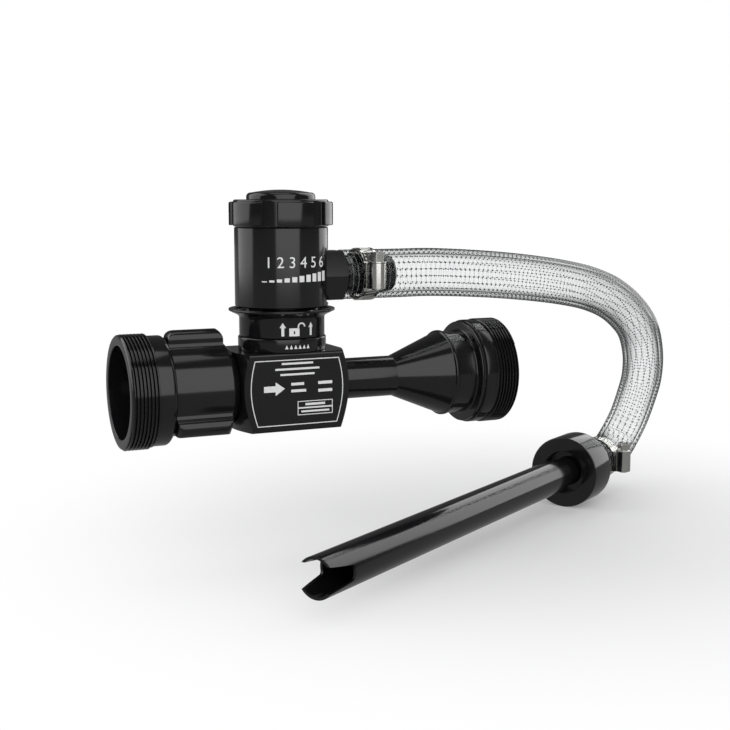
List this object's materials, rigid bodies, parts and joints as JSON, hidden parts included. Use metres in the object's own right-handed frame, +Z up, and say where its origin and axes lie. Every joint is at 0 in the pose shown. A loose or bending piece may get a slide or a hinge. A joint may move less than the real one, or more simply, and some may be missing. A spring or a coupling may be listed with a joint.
{
  "type": "jet eductor",
  "caption": "In-line jet eductor with a swivel inlet, threaded outlet, quick-release metering head, clear suction hose and slotted pick-up wand.",
  "frame": {"origin": "middle of the outlet face, on the flow line", "axes": "+X along the flow, out of the outlet; +Z up along the metering head; +Y to the far side of the plate face"},
  "size_m": [0.5004, 0.2634, 0.2584],
  "materials": {
    "hard_anodised_aluminium": "gloss black hard-anodised",
    "black_anodised_fitting": "satin black anodised",
    "seal_rubber": "matt moulded nitrile",
    "stainless_steel": "bright rolled and turned",
    "acetal": "ground white acetal",
    "clear_pvc": "clear flexible PVC with woven reinforcement"
  },
  "bodies": {
    "body": {"body_block": "hard_anodised_aluminium", "quick_plug": "hard_anodised_aluminium", "plug_oring": "seal_rubber", "check_ball": "acetal", "ball_pin": "stainless_steel", "jet_nozzle": "black_anodised_fitting", "nozzle_oring": "seal_rubber", "diffuser": "hard_anodised_aluminium", "diffuser_oring": "seal_rubber", "outlet_gasket": "seal_rubber", "outlet_adapter": "hard_anodised_aluminium", "swivel_oring": "seal_rubber"},
    "inlet": {"swivel_coupling": "hard_anodised_aluminium", "race_balls": "stainless_steel", "race_plug": "stainless_steel", "inlet_gasket": "seal_rubber", "inlet_adapter": "hard_anodised_aluminium"},
    "head": {"head_body": "hard_anodised_aluminium", "lock_balls": "stainless_steel", "sleeve_ring": "stainless_steel", "sleeve_spring": "stainless_steel", "detent_spring": "stainless_steel", "detent_ball": "stainless_steel", "hose_fitting": "black_anodised_fitting", "suction_hose": "clear_pvc", "head_clamp_band": "stainless_steel", "head_clamp_housing": "stainless_steel", "head_clamp_screw": "stainless_steel", "wand_fitting": "hard_anodised_aluminium", "wand_tube": "hard_anodised_aluminium", "wand_clamp_band": "stainless_steel", "wand_clamp_housing": "stainless_steel", "wand_clamp_screw": "stainless_steel"},
    "sleeve": {"release_sleeve": "hard_anodised_aluminium"},
    "knob": {"metering_drum": "black_anodised_fitting", "stem_oring": "seal_rubber", "metering_knob": "hard_anodised_aluminium", "knob_screw": "stainless_steel", "knob_cap": "hard_anodised_aluminium"}
  },
  "joints": [
    {"name": "inlet_swivel", "type": "hinge", "parent": "body", "child": "inlet", "pos_m": [-0.245, 0, 0], "axis": [1, 0, 0], "continuous": true},
    {"name": "head_swivel", "type": "hinge", "parent": "body", "child": "head", "pos_m": [-0.165, 0, 0.0721], "axis": [0, 0, 1], "continuous": true},
    {"name": "sleeve_lift", "type": "slide", "parent": "head", "child": "sleeve", "axis": [0, 0, 1], "range_m": [0, 0.0025], "stiffness_N_per_m": 3000, "springref_m": -0.003, "deforming": ["sleeve_spring"]},
    {"name": "knob_turn", "type": "hinge", "parent": "head", "child": "knob", "pos_m": [-0.165, 0, 0.1054], "axis": [0, 0, 1], "continuous": true}
  ]
}
